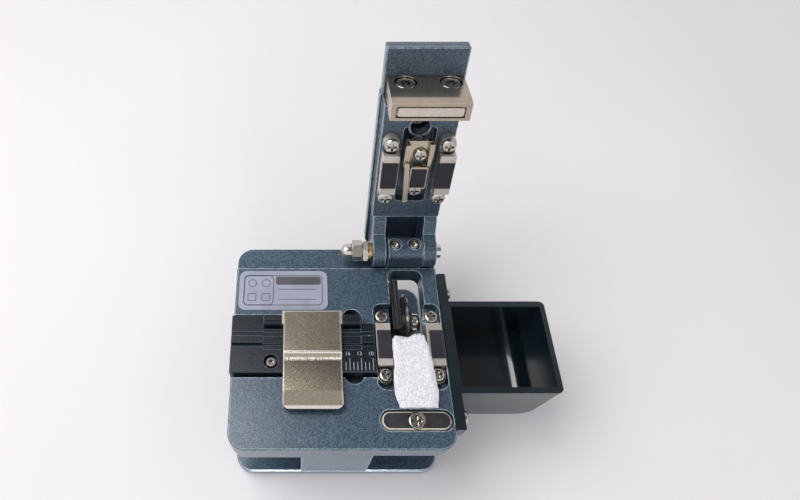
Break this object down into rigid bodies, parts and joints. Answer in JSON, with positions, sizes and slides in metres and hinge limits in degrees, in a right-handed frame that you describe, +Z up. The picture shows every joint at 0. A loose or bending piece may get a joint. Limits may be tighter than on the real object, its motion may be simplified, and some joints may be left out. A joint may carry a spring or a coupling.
{
  "type": "optical fibre cleaver",
  "caption": "bench cleaver for optical fibre, with a hinged clamping lid, a sliding blade wheel, a fibre adapter with a flap and a bin for scrap",
  "frame": {"origin": "middle of the casting's footprint, on the surface that the cleaver stands on", "axes": "+Z up, +Y towards the hinge at the back, +X towards the scrap bin on the right, -Y towards the user"},
  "size_m": [0.0848, 0.0792, 0.0865],
  "materials": {
    "body_paint": "fine sand-textured powder coat",
    "foot_rubber": "matte",
    "label_print": "satin, printed panels",
    "black_anodised": "black anodised, satin",
    "screw_steel": "nickel plated",
    "varnish_steel": "nickel plated with thread-lock varnish",
    "magnet": "nickel plated",
    "pin_steel": "ground",
    "flap_nickel": "champagne nickel",
    "rubber_pad": "matte",
    "clamp_steel": "bead blasted",
    "catch_black": "polished black",
    "bin_black": "moulded, satin",
    "brass": "turned",
    "rail_steel": "ground",
    "spring_steel": "drawn wire",
    "carriage_black": "black oxide",
    "grip_black": "moulded",
    "carbide": "polished carbide",
    "strip_white": "soft non-woven strip"
  },
  "bodies": {
    "base": {"body_casting": "body_paint", "base_mat": "foot_rubber", "rating_plate": "label_print", "adapter_plate": "black_anodised", "adapter_screws": "screw_steel", "adapter_magnet": "magnet", "flap_hinge_pin": "pin_steel", "lower_clamp_left": "clamp_steel", "lower_clamp_right": "clamp_steel", "lower_rubber_left": "rubber_pad", "lower_rubber_right": "rubber_pad", "lower_clamp_screws": "varnish_steel", "catch_plate": "catch_black", "catch_plate_screw": "screw_steel", "scrap_bin": "bin_black", "bin_screws": "screw_steel", "hinge_pin": "pin_steel", "hinge_grub_screws": "varnish_steel", "hinge_bush": "brass", "hinge_spacer": "carriage_black", "jam_nut": "screw_steel", "acorn_nut": "screw_steel", "guide_rail": "rail_steel", "rail_screws": "screw_steel", "travel_stop_pins": "pin_steel", "detent_plunger": "screw_steel", "detent_ball": "pin_steel", "detent_spring": "spring_steel", "packing_strip": "strip_white"},
    "lid": {"lid_arm": "body_paint", "magnet_block": "flap_nickel", "catch_magnet": "magnet", "magnet_block_screws": "screw_steel", "lid_pocket_screw": "screw_steel", "upper_clamp_left": "clamp_steel", "upper_clamp_right": "clamp_steel", "upper_rubber_left": "rubber_pad", "upper_rubber_right": "rubber_pad", "upper_clamp_screws": "varnish_steel", "anvil_shoulder_screws": "screw_steel", "anvil_springs": "spring_steel"},
    "anvil": {"anvil_bracket": "flap_nickel", "anvil_rubber": "rubber_pad"},
    "carriage": {"slider_block": "rail_steel", "blade_carriage": "carriage_black", "carriage_screws": "screw_steel", "carriage_grip": "grip_black", "grip_screws": "screw_steel", "blade_shaft": "pin_steel", "blade_lock_screw": "screw_steel"},
    "blade": {"blade_hub": "carriage_black", "blade_wheel": "carbide", "blade_clamp_ring": "carriage_black"},
    "flap": {"fibre_flap": "flap_nickel", "flap_rubber": "rubber_pad"}
  },
  "joints": [
    {"name": "lid_hinge", "type": "hinge", "parent": "base", "child": "lid", "pos_m": [0.019, 0.0258, 0.0344], "axis": [1, 0, 0], "range_deg": [0, 104.8], "deforming": ["packing_strip"]},
    {"name": "carriage_slide", "type": "slide", "parent": "base", "child": "carriage", "axis": [0, 1, 0], "range_m": [-0.0145, 0]},
    {"name": "blade_index", "type": "hinge", "parent": "carriage", "child": "blade", "pos_m": [0.0188, 0.008, 0.02485], "axis": [1, 0, 0], "continuous": true},
    {"name": "anvil_lift", "type": "slide", "parent": "lid", "child": "anvil", "axis": [0, 0.9668, -0.2554], "range_m": [0, 0.001], "stiffness_N_per_m": 300, "springref_m": -0.002, "deforming": ["anvil_springs"]},
    {"name": "flap_hinge", "type": "hinge", "parent": "base", "child": "flap", "pos_m": [-0.0071, 0.00495, 0.03345], "axis": [-1, 0, 0], "range_deg": [0, 95]}
  ]
}
